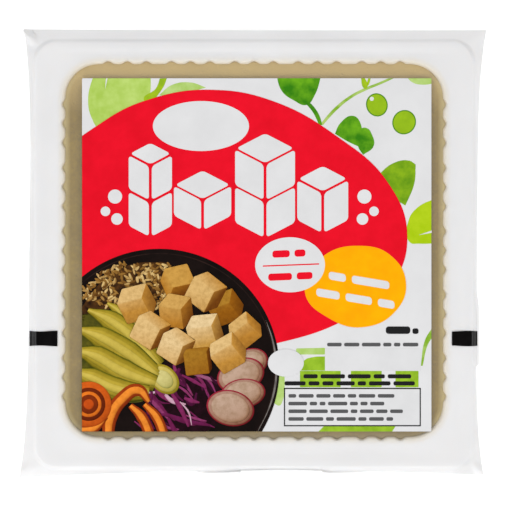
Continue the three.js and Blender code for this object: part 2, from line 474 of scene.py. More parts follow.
def seal_ring(spread):
    """The seal face's outline, moved out by spread."""
    ring = []
    radius = SEAL_RADIUS + spread
    for side in range(4):
        away, next_away = SEAL_SIDES[side], SEAL_SIDES[(side + 1) % 4]
        straight, next_straight = straight_half(side), straight_half(side + 1)
        for k in range(SIDE_PLACES):
            ring.append(turn_place(side, away + spread, -straight + 2 * straight * k / SIDE_PLACES))
        for k in range(CORNER_PLACES):
            share = k / CORNER_PLACES
            if share < 0.25:
                along = straight + (next_away - SEAL_RADIUS - straight) * share / 0.25
                ring.append(turn_place(side, away + spread, along))
            elif share < 0.75:
                angle = (share - 0.25) * math.pi
                ring.append(turn_place(side, away - SEAL_RADIUS + radius * math.cos(angle),
                                       next_away - SEAL_RADIUS + radius * math.sin(angle)))
            else:
                out = away - SEAL_RADIUS + (next_straight - away + SEAL_RADIUS) * (share - 0.75) / 0.25
                ring.append(turn_place(side, out, next_away + spread))
    return np.array(ring)


def cut_edge_ring():
    """The cut edge of tray and film: four pointed tips, with each side bowed in between them."""
    ring = []
    for side in range(4):
        straight, next_straight = straight_half(side), straight_half(side + 1)

        def on_side(which, share):
            start, end = np.array(TIPS[which]), np.array(TIPS[(which + 1) % 4])
            run = end - start
            inward = np.array((-run[1], run[0])) / np.hypot(*run)
            depth, power = BOWS[which]
            return start + run * share + inward * depth * (1 - abs(2 * share - 1) ** power)

        def share_at(which, along):
            axis = np.array(turn_place(which, 0, 1))
            low, high = (float(axis @ np.array(TIPS[i % 4])) for i in (which, which + 1))
            return (along - low) / (high - low)

        for k in range(SIDE_PLACES):
            ring.append(on_side(side, share_at(side, -straight + 2 * straight * k / SIDE_PLACES)))
        for k in range(CORNER_PLACES):
            share = k / CORNER_PLACES
            if share < 0.5:
                reach = share_at(side, straight)
                ring.append(on_side(side, reach + (1 - reach) * share * 2))
            else:
                reach = share_at((side + 1) % 4, -next_straight)
                ring.append(on_side((side + 1) % 4, reach * (share * 2 - 1)))
    return np.array(ring)


def web_ripple(ring):
    """The faint unevenness of the formed web, in millimetres."""
    x, y = ring[:, 0], ring[:, 1]
    return (0.05 * np.sin(x / 7.3 + 0.6) * np.cos(y / 9.1) + 0.035 * np.sin((x + y) / 5.2 + 1.1)
            + 0.03 * np.cos((x - 1.4 * y) / 11.7))


def tip_creases(ring, strength):
    """How far the margin folds up or down along each tip's diagonal."""
    lift = np.zeros(len(ring))
    for corner in range(4):
        tip = np.array(TIPS[corner])
        sign = np.sign(tip)
        across = SEAL_SIDES[0] if tip[0] > 0 else SEAL_SIDES[2]
        along = SEAL_SIDES[1] if tip[1] > 0 else SEAL_SIDES[3]
        centre = sign * (np.array((across, along)) - SEAL_RADIUS)
        reach = np.hypot(*(tip - centre))
        diagonal = (tip - centre) / reach
        off = ring - centre
        out = off @ diagonal
        beside = off @ np.array((-diagonal[1], diagonal[0]))
        ramp = np.clip((out - SEAL_RADIUS - FOLD_START) / (reach - SEAL_RADIUS - FOLD_START), 0, 1)
        fold, width, shift = TIP_FOLDS[corner]
        lift += strength * fold * ramp * np.clip(1 - np.abs(beside - shift * ramp) / width, 0, 1)
        # A second, fainter fold beside the first.
        second = np.clip(1 - np.abs(beside + (shift + 1.6) * ramp) / (0.6 * width), 0, 1)
        lift -= 0.45 * strength * fold * ramp * second
    return lift


def step_drop(out):
    """How far the web has dropped at a distance out from the seal face's outline."""
    places, drops = zip(*STEP_PROFILE)
    return float(np.interp(out, places, drops)) + max(0.0, out - STEP_FOOT) * MARGIN_SLOPE


def web_rings(lift, trim=0.0):
    """Rings over the flange from the cavity's lip to the cut edge, with their heights."""
    lip, edge = cavity_ring(-LIP_RADIUS), cut_edge_ring()
    edge = edge * (1 - trim / TIP_REACH)
    rings = []
    inner = seal_ring(STEP_PROFILE[0][0])
    for share in FLANGE_SHARES:
        plan = lip + (inner - lip) * share
        ripple = web_ripple(plan) * min(1, share / 0.5) ** 2
        dish = SEAL_DISH * math.sin(math.pi * share) ** 2
        rings.append(np.column_stack((plan, SEAL_FACE + lift + ripple - dish)))
    for spread, drop in STEP_PROFILE:
        plan = seal_ring(spread)
        rings.append(np.column_stack((plan, SEAL_FACE + lift - drop + web_ripple(plan))))
    foot = seal_ring(STEP_FOOT)
    width = np.hypot(*(edge - foot).T)
    for share in MARGIN_SHARES:
        plan = foot + (edge - foot) * share
        wave = MARGIN_WAVE * share * np.sin(plan[:, 0] / 6.1) * np.cos(plan[:, 1] / 7.7)
        height = (SEAL_FACE + lift - STEP_DROP - MARGIN_SLOPE * width * share + web_ripple(plan)
                  + tip_creases(plan, 1.0) + wave)
        rings.append(np.column_stack((plan, height)))
    return rings


def level_ring(plan, height):
    """A flat outline at one height, as places."""
    return np.column_stack((plan, np.full(len(plan), height)))


def roll_sheet(name, rings):
    """A sheet through rings of equally many places: a grid that is rolled round and closed."""
    around, levels = len(rings[0]), len(rings)
    clear_selection()
    bpy.ops.mesh.primitive_grid_add(x_subdivisions=around, y_subdivisions=levels - 1, size=2)
    piece = name_piece(name)
    flat = read_places(piece)
    column = np.rint((flat[:, 0] + 1) / 2 * around).astype(int) % around
    row = np.rint((flat[:, 1] + 1) / 2 * (levels - 1)).astype(int)
    rolled = np.array(rings)[row, column]
    write_places(piece, (rolled + (CAVITY_X, CAVITY_Y, 0)) * MM)
    edit_all((bpy.ops.mesh.remove_doubles, MERGE), (bpy.ops.mesh.normals_make_consistent, {"inside": False}))
    if upward(piece) < 0:
        edit_all((bpy.ops.mesh.flip_normals, {}))
    return piece


# The print's shapes ----------------------------------------------------------------------------


def label_x(u):
    """A place across the label, in metres from one in millimetres."""
    return (CAVITY_X + LABEL_X + u) * MM


def label_y(v):
    """A place up the label, in metres from one in millimetres."""
    return (CAVITY_Y + LABEL_Y + v) * MM


def film_sag(x, y):
    """How far the film sags over the cavity, in millimetres, at places in metres."""
    across = np.clip(1 - ((x / MM - CAVITY_X) / (HALF_WIDTH + LIP_RADIUS)) ** 2, 0, None)
    along = np.clip(1 - ((y / MM - CAVITY_Y) / (HALF_LENGTH + LIP_RADIUS)) ** 2, 0, None)
    return bpy.context.scene.tofu_film.sag / MM * across * along


def film_top(x, y):
    """The film's upper surface over the cavity, in metres."""
    film = bpy.context.scene.tofu_film
    return SEAL_FACE * MM + film.gap + film.thickness - film_sag(x, y) * MM


def level_height(level):
    """How high a level of the print lies over the film."""
    return level * bpy.context.scene.tofu_print.coat


def picture_height(order):
    """How high an item of the food picture lies over the film, by its order from the bottom."""
    return level_height(7.2 + order * 0.45)


def oval(u, v, across, along, turn=0.0, sides=72):
    """A flat oval: its middle and its half sizes."""
    clear_selection()
    bpy.ops.mesh.primitive_circle_add(
        vertices=sides, radius=1, fill_type="NGON", location=(label_x(u), label_y(v), 0),
        rotation=(0, 0, math.radians(turn)))
    apply_place((across * MM, along * MM, 1))
    return bpy.context.object


def oval_ring(u, v, across, along, width):
    """A thin flat ring inside an oval's edge, extruded inwards from its outline."""
    clear_selection()
    bpy.ops.mesh.primitive_circle_add(vertices=96, radius=1, location=(label_x(u), label_y(v), 0))
    apply_place((across * MM, along * MM, 1))
    bpy.ops.object.mode_set(mode="EDIT")
    bpy.ops.mesh.select_all(action="SELECT")
    bpy.ops.mesh.extrude_edges_indiv()
    bpy.ops.transform.resize(value=(1 - width / across, 1 - width / along, 1),
                             center_override=(label_x(u), label_y(v), 0))
    bpy.ops.object.mode_set(mode="OBJECT")
    return bpy.context.object


def curve_piece(kind, curve):
    """A curve as a mesh."""
    piece = bpy.data.objects.new(kind, curve)
    bpy.context.collection.objects.link(piece)
    make_active(piece)
    bpy.ops.object.convert(target="MESH")


def field(points, sharp=(), smooth=10):
    """A flat field inside a smooth closed curve through a few places. The sharp ones are corners."""
    curve = bpy.data.curves.new("field", "CURVE")
    curve.dimensions = "2D"
    curve.fill_mode = "BOTH"
    curve.resolution_u = smooth
    spline = curve.splines.new("BEZIER")
    spline.bezier_points.add(len(points) - 1)
    spline.use_cyclic_u = True
    for i, (place, (u, v)) in enumerate(zip(spline.bezier_points, points)):
        place.co = (label_x(u), label_y(v), 0)
        kind = "VECTOR" if i in sharp else "AUTO"
        place.handle_left_type = place.handle_right_type = kind
    curve_piece("field", curve)
    edit_all((bpy.ops.mesh.remove_doubles, MERGE))
    return bpy.context.object


def patch(corners, rounding):
    """A flat four-cornered patch with rounded corners."""
    clear_selection()
    bpy.ops.mesh.primitive_plane_add(size=2)
    piece = bpy.context.object
    order = [0, 1, 3, 2]  # the plane's corners, counter-clockwise
    for vertex, (u, v) in zip(order, corners):
        piece.data.vertices[vertex].co = (label_x(u), label_y(v), 0)
    edit_all((bpy.ops.mesh.bevel, {"offset": rounding * MM, "segments": 4, "affect": "VERTICES"}))
    return piece


def bar(u, v, length, height, slant=0.0):
    """A flat bar with rounded ends, from its left end's middle."""
    rise = math.tan(math.radians(slant)) * length
    return patch([(u, v - height / 2), (u + length, v + rise - height / 2),
                  (u + length, v + rise + height / 2), (u, v + height / 2)], height * 0.38)


def word_bars(u_from, u_to, v, height, seed, slant=0.0, longest=9.0):
    """A row of bars of uneven lengths, which stands where a line of small print would."""
    pick = random.Random(seed)
    bars = []
    u = u_from
    while u < u_to - 1.2:
        length = min(pick.uniform(0.28, 1.0) * longest, u_to - u)
        rise = math.tan(math.radians(slant)) * (u - u_from)
        bars.append(bar(u, v + rise, length, height, slant))
        u += length + height * 0.75
    return bars


def strand(points, widths, sides=2):
    """A round strand through a few places, tapered by its widths."""
    curve = bpy.data.curves.new("strand", "CURVE")
    curve.dimensions = "3D"
    curve.bevel_depth = MM / 2
    curve.bevel_resolution = sides
    curve.use_fill_caps = True
    curve.resolution_u = 6
    spline = curve.splines.new("BEZIER")
    spline.bezier_points.add(len(points) - 1)
    for i, (place, (u, v)) in enumerate(zip(spline.bezier_points, points)):
        place.co = (label_x(u), label_y(v), 0)
        place.handle_left_type = place.handle_right_type = "AUTO"
        place.radius = widths[min(i, len(widths) - 1)]
    curve_piece("strand", curve)
    edit_all((bpy.ops.mesh.remove_doubles, MERGE), (bpy.ops.mesh.normals_make_consistent, {"inside": False}))
    bpy.ops.object.shade_smooth()
    return bpy.context.object


def flat_ball(u, v, across, along, up, turn=0.0, segments=40, rings=12):
    """A low round ball: its middle and its half sizes."""
    clear_selection()
    bpy.ops.mesh.primitive_uv_sphere_add(segments=segments, ring_count=rings, radius=1,
                                         location=(label_x(u), label_y(v), 0),
                                         rotation=(0, 0, math.radians(turn)))
    bpy.ops.object.shade_smooth()
    apply_place((across * MM, along * MM, up * MM))
    return bpy.context.object


def cut_away(piece, place, outward, closed):
    """Cuts off what lies past a plane."""
    make_active(piece)
    edit_all((bpy.ops.mesh.bisect,
              {"plane_co": place, "plane_no": outward, "clear_outer": True, "use_fill": closed}))


def trim_to_label(piece, closed=False):
    """Trims a shape at the label's edges, where it reaches past them."""
    places = read_places(piece)
    for axis, half, middle in ((0, LABEL_HALF_WIDTH, label_x(0)), (1, LABEL_HALF_HEIGHT, label_y(0))):
        for sign in (-1, 1):
            limit = middle + sign * half * MM
            if (places[:, axis] * sign).max() > limit * sign + 1e-7:
                edge, outward = [0, 0, 0], [0, 0, 0]
                edge[axis], outward[axis] = limit, sign
                cut_away(piece, edge, outward, closed)


def cut_into_squares(piece, step):
    """Cuts a flat shape along evenly spaced lines, so that it can follow the film."""
    places = read_places(piece)
    make_active(piece)
    bpy.ops.object.mode_set(mode="EDIT")
    for axis in (0, 1):
        low, high = places[:, axis].min(), places[:, axis].max()
        first = math.ceil((low + 1e-6) / (step * MM))
        for line in range(first, int(high / (step * MM)) + 1):
            place, across = [0, 0, 0], [0, 0, 0]
            place[axis], across[axis] = line * step * MM, 1
            if low + 1e-6 < place[axis] < high - 1e-6:
                bpy.ops.mesh.select_all(action="SELECT")
                bpy.ops.mesh.bisect(plane_co=place, plane_no=across)
    bpy.ops.object.mode_set(mode="OBJECT")


def coat_flat(piece, level, step=6.0):
    """Makes a flat shape a thin coat of ink that follows the film, at its level in the print."""
    trim_to_label(piece)
    cut_into_squares(piece, step)
    if upward(piece) < 0:
        make_active(piece)
        edit_all((bpy.ops.mesh.flip_normals, {}))
    apply_modifier(piece, "SOLIDIFY", thickness=bpy.context.scene.tofu_print.coat * 0.7, offset=-1.0)
    places = read_places(piece)
    places[:, 2] += film_top(places[:, 0], places[:, 1]) + level_height(level + 1)
    write_places(piece, places)
    return piece


def print_coat(name, shapes, level, ink):
    """Prints flat shapes as one coat of ink at its level."""
    finish_piece(join_pieces([coat_flat(shape, level) for shape in shapes], name), ink)


def picture_flat(piece, order, tone=0.0):
    """Makes a modelled item a flat part of the printed picture. What light its form would catch
    from the upper left is kept as its shade, and then it is pressed flat in its order."""
    trim_to_label(piece, closed=True)
    mesh = piece.data
    light = np.array((-0.42, 0.5, 0.76))
    corners = np.empty(len(mesh.loops) * 3, dtype=np.float32)
    mesh.corner_normals.foreach_get("vector", corners)
    shade = mesh.attributes.new("shade", "FLOAT", "CORNER")
    shade.data.foreach_set(
        "value", np.clip(0.5 + 0.5 * corners.reshape(-1, 3) @ light, 0, 1).astype(np.float32))
    tones = mesh.attributes.new("tone", "FLOAT", "FACE")
    tones.data.foreach_set("value", np.full(len(mesh.polygons), tone, dtype=np.float32))
    places = read_places(piece)
    low, high = places[:, 2].min(), places[:, 2].max()
    coat = bpy.context.scene.tofu_print.coat
    pressed = (places[:, 2] - low) / max(high - low, 1e-9) * coat * 0.3
    places[:, 2] = pressed + film_top(places[:, 0], places[:, 1]) + picture_height(order)
    write_places(piece, places)
    return piece


# Settings ------------------------------------------------------------------------------------


def size(name, description, default, low=0.0, high=200.0):
    """A length setting, given in millimetres."""
    return bpy.props.FloatProperty(name=name, description=description, default=default * MM, min=low * MM,
                                   max=high * MM, unit="LENGTH", precision=5)


def colour(name, description, default):
    """A colour setting, given as an sRGB hex colour."""
    return bpy.props.FloatVectorProperty(name=name, description=description, default=linear(default), size=3,
                                         min=0.0, max=1.0, subtype="COLOR")


class TraySettings(bpy.types.PropertyGroup):
    """The formed tray."""

    sheet: size("Sheet", "Thickness of the formed sheet", 0.8, 0.3, 2)
    flute_depth: size("Flute depth", "How deep the upright grooves in the walls are", 0.9, 0, 1.5)
    white: colour("White", "Colour of the polypropylene", "#DBDBDC")


class TofuSettings(bpy.types.PropertyGroup):
    """The block of bean curd."""

    edge: size("Edge", "Radius of the block's soft upper edge", 0.25, 0.2, 3)
    headroom: size("Headroom", "How far its top stands over the solid's", 0.9, 0, 1.5)
    unevenness: size("Unevenness", "How far the top rises and falls", 0.25, 0, 1)
    # Painted shade: Cream and Shaded are set far darker than the curd's own cream, as the shade of the recess
    # under the film and the label.
    cream: colour("Cream", "Colour of the curd", "#8B7226")
    shaded: colour("Shaded", "Its duller yellow", "#776024")
    # Painted light and shade: the curd is painted paler beside the white walls, palest by the back wall, and
    # darker by the front wall, as its shade.
    wall_lit: colour("Wall side", "Colour of the curd beside the wall", "#BCAA74")
    back_lit: colour("Back side", "Colour of the curd beside the back wall", "#B2985C")
    front_shaded: colour("Front side", "Colour of the curd beside the front wall", "#94835A")


class FilmSettings(bpy.types.PropertyGroup):
    """The lidding film."""

    gap: size("Gap", "Seal between the flange and the film", 0.05, 0.01, 0.18)
    thickness: size("Thickness", "Thickness of the film", 0.08, 0.02, 0.18)
    sag: size("Sag", "How far the film sags at its middle", 0.5, 0, 1.5)
    veil: colour("Veil", "What little colour the film has", "#F2F4F6")
    cover: bpy.props.FloatProperty(name="Cover", description="How much of what lies under it the film hides",
                                   default=0.045, min=0.0, max=1.0, subtype="FACTOR")
    mark: colour("Mark", "Colour of the eye marks", "#040303")


class PrintSettings(bpy.types.PropertyGroup):
    """The film's print."""

    coat: size("Coat", "Height of one level of ink", 0.02, 0.005, 0.1)
    white: colour("White", "The label's ground", "#D6D6D7")
    lettering: colour("Figures", "The white figures on the red field", "#D5D5D6")
    red: colour("Red", "The large field", "#E10E25")
    orange: colour("Orange", "The small field", "#F9AA00")
    light_green: colour("Light green", "The pale leaves", "#9FBE50")
    mid_green: colour("Mid green", "The round fruit and the narrow leaves", "#90B51C")
    dark_green: colour("Dark green", "The dark leaves", "#31780E")
    bowl: colour("Bowl", "The bowl of the picture", "#0D0706")
    grey: colour("Grey", "Bars and frames of the small panel", "#555556")


class StageSettings(bpy.types.PropertyGroup):
    """Floor, light and camera."""

    distance: bpy.props.FloatProperty(name="Camera height", description="Height of the camera over the film",
                                      default=1.2, min=0.3, max=5, unit="LENGTH")
    view: size("View", "Width of the view at the film", 158.2, 50, 500)
    floor: colour("Floor", "Colour of the floor", "#FFFFFF")


# Operators -----------------------------------------------------------------------------------


class BuildTray(bpy.types.Operator):
    """Builds the white tray: fluted cavity, seal flange and drooping margin"""

    bl_idname = "tofu_pack.tray"
    bl_label = "Tray"

    def execute(self, context):
        settings = context.scene.tofu_tray
        depth = settings.flute_depth / MM
        floor = settings.sheet / MM
        rings = []

        def add(plan, height):
            rings.append(level_ring(plan, height))

        foot = cavity_ring((SEAL_FACE - floor) * DRAFT + FLOOR_RADIUS)
        for share in (0.0, 0.5, 0.9):
            add(foot * share, floor)
        for step in range(6):
            angle = math.pi / 2 * step / 5
            height = floor + FLOOR_RADIUS * (1 - math.cos(angle))
            inset = (SEAL_FACE - height) * DRAFT + FLOOR_RADIUS * (1 - math.sin(angle))
            add(cavity_ring(inset, depth * (1 - math.cos(angle))), height)
        top = SEAL_FACE - LIP_RADIUS
        for share in (0.25, 0.5, 0.75, 1.0):
            height = floor + FLOOR_RADIUS + (top - floor - FLOOR_RADIUS) * share
            add(cavity_ring((SEAL_FACE - height) * DRAFT, depth), height)
        for step in range(1, 6):
            angle = math.pi / 2 * step / 6
            inset = LIP_RADIUS * DRAFT * (1 - step / 6) - LIP_RADIUS * (1 - math.cos(angle))
            add(cavity_ring(inset, depth * math.cos(angle) ** 0.7),
                SEAL_FACE - LIP_RADIUS * (1 - math.sin(angle)))
        rings += web_rings(0.0)
        piece = roll_sheet("tray_sheet", rings)
        apply_modifier(piece, "SOLIDIFY", thickness=settings.sheet, offset=-1.0)
        finish_piece(piece, formed_polypropylene(tuple(settings.white)), 50, "tray")
        return {"FINISHED"}


class BuildTofu(bpy.types.Operator):
    """Builds the block of bean curd that fills the tray"""

    bl_idname = "tofu_pack.tofu"
    bl_label = "Tofu"

    def execute(self, context):
        settings = context.scene.tofu_block
        bottom = context.scene.tofu_tray.sheet / MM + 0.1
        reach = 0.12  # how far it presses into the wall, so that no gap shows
        top = TOFU_TOP + settings.headroom / MM
        edge = settings.edge / MM
        flutes = context.scene.tofu_tray.flute_depth / MM * 0.9  # it doesn't quite fill them
        rings = []

        def add(plan, height):
            rings.append(level_ring(plan, height))

        def inset_at(height):
            return (SEAL_FACE - height) * DRAFT - reach

        foot = cavity_ring(inset_at(bottom) + FLOOR_RADIUS)
        for share in (0.0, 0.6):
            add(foot * share, bottom)
        for step in range(5):
            angle = math.pi / 2 * step / 4
            height = bottom + FLOOR_RADIUS * (1 - math.cos(angle))
            add(cavity_ring(inset_at(height) + FLOOR_RADIUS * (1 - math.sin(angle)),
                            flutes * (1 - math.cos(angle))), height)
        for share in (0.35, 0.7, 1.0):
            height = bottom + FLOOR_RADIUS + (top - edge - bottom - FLOOR_RADIUS) * share
            add(cavity_ring(inset_at(height), flutes), height)
        for step in range(1, 6):
            angle = math.pi / 2 * step / 5
            add(cavity_ring(inset_at(top) + edge * (1 - math.cos(angle)),
                            flutes * (0.7 + 0.3 * math.cos(angle))),
                top - edge * (1 - math.sin(angle)))
        for inset in (1.2, 2.2, 3.2, 4.4, 6.0):
            add(cavity_ring(inset_at(top) + edge + inset), top)
        rim = rings[-1][:, :2]
        for share in (0.9, 0.75, 0.55, 0.35, 0.15, 0.0):
            add(rim * share, top)
        piece = roll_sheet("tofu_curd", rings)
        places = read_places(piece)
        x, y = places[:, 0] / MM, places[:, 1] / MM
        # The press and the cut leave its top a little uneven.
        rise = (np.sin(x / 3.1 + 0.4) * np.cos(y / 2.7) + np.sin((x - y) / 5.3)
                + 0.7 * np.cos((x + 1.6 * y) / 1.9)) / 2.7
        near_top = np.clip((places[:, 2] / MM - top + 1.5) / 1.5, 0, 1)
        places[:, 2] += settings.unevenness * (rise - 0.6) * near_top
        write_places(piece, places)
        finish_piece(piece, pressed_bean_curd(settings), 60, "tofu_block")
        return {"FINISHED"}


class BuildFilm(bpy.types.Operator):
    """Builds the clear lidding film, sealed to the flange and cut with it"""

    bl_idname = "tofu_pack.film"
    bl_label = "Film"

    def execute(self, context):
        settings = context.scene.tofu_film
        lift = settings.gap / MM
        rings = []
        mouth = cavity_ring(-LIP_RADIUS)
        for share in (0.0, 0.12, 0.25, 0.38, 0.5, 0.62, 0.73, 0.83, 0.91, 0.965):
            plan = mouth * share
            x, y = (plan[:, 0] + CAVITY_X) * MM, (plan[:, 1] + CAVITY_Y) * MM
            rings.append(np.column_stack((plan, SEAL_FACE + lift - film_sag(x, y))))
        rings += web_rings(lift, trim=0.12)
        piece = roll_sheet("film_sheet", rings)
        apply_modifier(piece, "SOLIDIFY", thickness=settings.thickness, offset=1.0)
        film = clear_lidding_film(tuple(settings.veil), settings.cover)
        finish_piece(piece, film, 60, "lid_film")
        return {"FINISHED"}


class BuildEyeMarks(bpy.types.Operator):
    """Prints the two black eye marks that the sealing machine reads at the film's edges"""

    bl_idname = "tofu_pack.eye_marks"
    bl_label = "Eye marks"

    def execute(self, context):
        film = context.scene.tofu_film
        marks = []
        for left, right in EYE_MARKS:
            clear_selection()
            bpy.ops.mesh.primitive_grid_add(
                x_subdivisions=40, y_subdivisions=6, size=2,
                location=((CAVITY_X + (left + right) / 2) * MM, (CAVITY_Y + EYE_MARK_Y) * MM, 0))
            apply_place(((right - left) / 2 * MM, EYE_MARK_HALF * MM, 1))
            mark = bpy.context.object
            places = read_places(mark)
            x, y = places[:, 0] / MM - CAVITY_X, places[:, 1] / MM - CAVITY_Y
            # The long edges waver a little.
            off = y - EYE_MARK_Y
            places[:, 1] += 0.12 * MM * np.sin(x / 1.7) * np.sign(off) * (abs(off) > 2)
            side = SEAL_SIDES[2] if left < 0 else SEAL_SIDES[0]
            drop = np.array([step_drop(abs(value) - side) for value in x])
            ripple = web_ripple(np.column_stack((x, y)))
            share = np.clip((abs(x) - side - STEP_FOOT) / 1.3, 0, 1)
            wave = MARGIN_WAVE * share * np.sin(x / 6.1) * np.cos(y / 7.7)
            lift = film.gap + film.thickness + 0.045 * MM
            places[:, 2] = (SEAL_FACE - drop + ripple + wave) * MM + lift
            write_places(mark, places)
            marks.append(mark)
        piece = join_pieces(marks, "eye_marks")
        apply_modifier(piece, "SOLIDIFY", thickness=0.015 * MM, offset=-1.0)
        finish_piece(piece, flexo_ink("eye_mark_black_ink", film.mark, "#0A0808", 2.2))
        return {"FINISHED"}


class BuildGround(bpy.types.Operator):
    """Prints the label's white ground"""

    bl_idname = "tofu_pack.ground"
    bl_label = "White ground"

    def execute(self, context):
        w, h = LABEL_HALF_WIDTH, LABEL_HALF_HEIGHT
        print_coat("print_ground", [patch([(-w, -h), (w, -h), (w, h), (-w, h)], 0.4)], 0,
                   flexo_ink("white_backing_ink", context.scene.tofu_print.white, None, 14.0))
        return {"FINISHED"}


class BuildFields(bpy.types.Operator):
    """Prints the large red field and the small orange one"""

    bl_idname = "tofu_pack.fields"
    bl_label = "Colour fields"

    def execute(self, context):
        settings = context.scene.tofu_print
        red = field([(-62, 28), (-48, 41.5), (-32, 49), (-14, 51.5), (5, 48), (25, 37), (41, 22.5), (47, 6),
                     (42, -9.5), (29, -19.5), (7, -27.4), (-18, -30.5), (-62, -24)])
        print_coat("print_red_field", [red], 4, flexo_ink("red_field_ink", settings.red, "#D60B20", 7.0))
        orange = field([(33.5, 2.8), (42.3, -0.6), (46.6, -8.8), (43.8, -17), (33.8, -22.5), (22.6, -19.8),
                        (15, -11.5), (20, -1)])
        print_coat("print_orange_field", [orange], 5,
                   flexo_ink("orange_field_ink", settings.orange, "#F49D00", 8.0))
        return {"FINISHED"}


class BuildOvals(bpy.types.Operator):
    """Prints the bare white ovals, and the bars on the middle one and on the orange field"""

    bl_idname = "tofu_pack.ovals"
    bl_label = "Ovals"

    def execute(self, context):
        settings = context.scene.tofu_print
        ovals = [oval(-17.4, 40.2, 15, 7.8), oval(10.4, -3.1, 10.9, 8.6), oval(9.1, -33.7, 5.6, 4.3)]
        print_coat("print_ovals", ovals, 6, flexo_ink("white_oval_ink", settings.lettering, None, 11.0))
        bars = [bar(1.9, -3.5, 17.6, 0.4, 2.2)]
        bars += [bar(u, v, length, 2.2, 2.2) for u, v, length in (
            (4.9, 0.2, 5.4), (11.8, 0.5, 3.4), (3.6, -7.0, 7.4), (12.5, -6.6, 4.9))]
        print_coat("print_oval_bars", bars, 7, flexo_ink("red_bar_ink", settings.red, None, 4.0))
        bars = (word_bars(22.5, 43.3, -6.4, 2.5, 8, -9.5, 12.0)
                + word_bars(18.6, 43.0, -11.6, 2.5, 11, -9.5, 12.0))
        print_coat("print_orange_bars", bars, 7, flexo_ink("white_bar_ink", settings.lettering, None, 4.0))
        return {"FINISHED"}


class BuildBlocks(bpy.types.Operator):
    """Prints four plain stacks of white blocks, and the round spots beside them, on the red field"""

    bl_idname = "tofu_pack.blocks"
    bl_label = "White blocks"

    def execute(self, context):
        faces = []
        for middle, base, half, tall, storeys in ((-33.2, 5.2, 7.2, 22.8, 2), (-16.9, 7.4, 9.4, 9.8, 1),
                                                  (2.6, 5.0, 9.8, 23.4, 2), (20.6, 6.4, 8.4, 13.2, 1)):
            rise = half * 0.5
            quads = [[(0, tall), (half, rise + tall), (0, 2 * rise + tall), (-half, rise + tall)]]
            for storey in range(storeys):
                foot, head = (tall * number / storeys for number in (storey, storey + 1))
                quads.append([(-half, rise + foot), (0, foot), (0, head), (-half, rise + head)])
                quads.append([(0, foot), (half, rise + foot), (half, rise + head), (0, head)])
            for quad in quads:
                # Each face draws in a little, so that red lines show between them.
                cu, cv = (sum(corner[axis] for corner in quad) / 4 for axis in (0, 1))
                faces.append(patch([(middle + cu + (u - cu) * (1 - 0.9 / half),
                                     base + cv + (v - cv) * (1 - 0.55 / half))
                                    for u, v in quad], 1.1))
        for u, v, radius in ((38.9, 3.2, 2.2), (41.9, -1.4, 1.5), (38.3, -3.8, 1.8)):
            faces += [oval(-5.3 + side * u, 15 + v, radius, radius, sides=40) for side in (-1, 1)]
        print_coat("print_blocks", faces, 6,
                   flexo_ink("white_block_ink", context.scene.tofu_print.lettering, None, 10.0))
        return {"FINISHED"}


